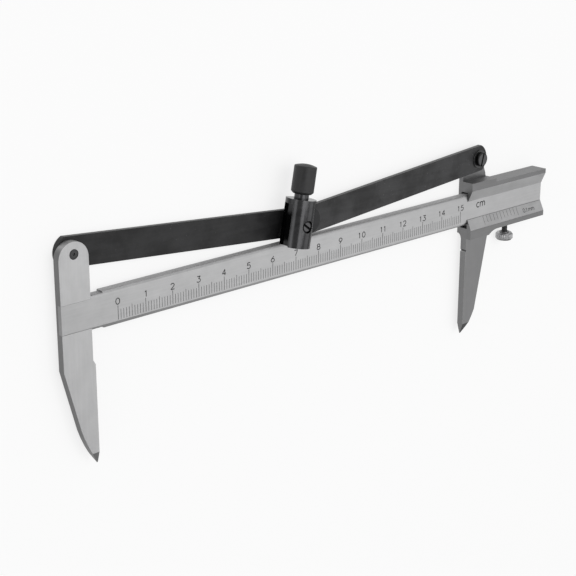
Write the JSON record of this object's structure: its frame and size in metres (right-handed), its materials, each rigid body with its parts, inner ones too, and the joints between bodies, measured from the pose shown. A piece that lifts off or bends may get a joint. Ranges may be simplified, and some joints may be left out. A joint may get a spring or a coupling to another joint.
{
  "type": "marking vernier caliper",
  "caption": "Marking vernier caliper: graduated beam, fixed and sliding jaws, lock screw, and a folding arm linkage that keeps a sprung marking punch midway between the jaws.",
  "frame": {"origin": "datum point of the fixed measuring face: on that face, at the middle of its thickness and 30 mm below the middle of the beam's height", "axes": "+X along the beam from the fixed jaw to the slider, +Y from the jaw tips to the arm pivots, +Z out of the scale, so that the caliper lies on its back"},
  "size_m": [0.2152, 0.078, 0.013],
  "materials": {
    "satin_steel": "satin chromed steel",
    "bright_steel": "bright turned steel",
    "black_oxide": "black oxide, satin"
  },
  "bodies": {
    "frame": {"beam": "satin_steel", "fixed_jaw": "satin_steel", "jaw_rivets": "bright_steel", "left_pivot_pin": "black_oxide"},
    "left_arm": {"left_arm": "black_oxide", "centre_pivot_head": "black_oxide"},
    "slider": {"slider_body": "satin_steel", "sliding_jaw": "satin_steel", "sliding_jaw_rivets": "bright_steel", "gib_strip": "bright_steel", "gib_screws": "black_oxide", "right_pivot_screw": "black_oxide", "right_pivot_washer": "black_oxide"},
    "right_arm": {"right_arm": "black_oxide"},
    "marker": {"marker_block": "black_oxide", "guide_screw": "black_oxide", "centre_pivot_screw": "black_oxide", "punch_spring": "bright_steel"},
    "punch": {"punch_shank": "black_oxide", "punch_point": "bright_steel", "punch_knob": "black_oxide"},
    "lock_screw": {"lock_screw": "bright_steel"}
  },
  "joints": [
    {"name": "slider_slide", "type": "slide", "parent": "frame", "child": "slider", "axis": [1, 0, 0], "range_m": [-0.162, 0]},
    {"name": "left_arm_hinge", "type": "hinge", "parent": "frame", "child": "left_arm", "pos_m": [-0.0057, 0.0483, -0.00175], "axis": [0, 0, 1], "range_deg": [0, 88]},
    {"name": "right_arm_hinge", "type": "hinge", "parent": "slider", "child": "right_arm", "pos_m": [0.1682, 0.0476, -0.00175], "axis": [0, 0, 1], "range_deg": [-94.3, 0]},
    {"name": "marker_swivel", "type": "hinge", "parent": "right_arm", "child": "marker", "pos_m": [0.08122, 0.0404, -0.00175], "axis": [0, 0, 1], "continuous": true},
    {"name": "punch_press", "type": "slide", "parent": "marker", "child": "punch", "axis": [-0.1874, -0.9823, 0], "range_m": [0, 0.0014], "stiffness_N_per_m": 600, "springref_m": -0.0015, "deforming": ["punch_spring"]},
    {"name": "lock_turn", "type": "hinge", "parent": "slider", "child": "lock_screw", "pos_m": [0.1853, 0.0159, 0.00007], "axis": [0, -1, 0], "range_deg": [0, 360]}
  ],
  "couplings": [
    {"joint": "left_arm_hinge", "follows": "slider_slide", "rad_per_m": -9.4712},
    {"joint": "right_arm_hinge", "follows": "slider_slide", "rad_per_m": 10.147}
  ]
}
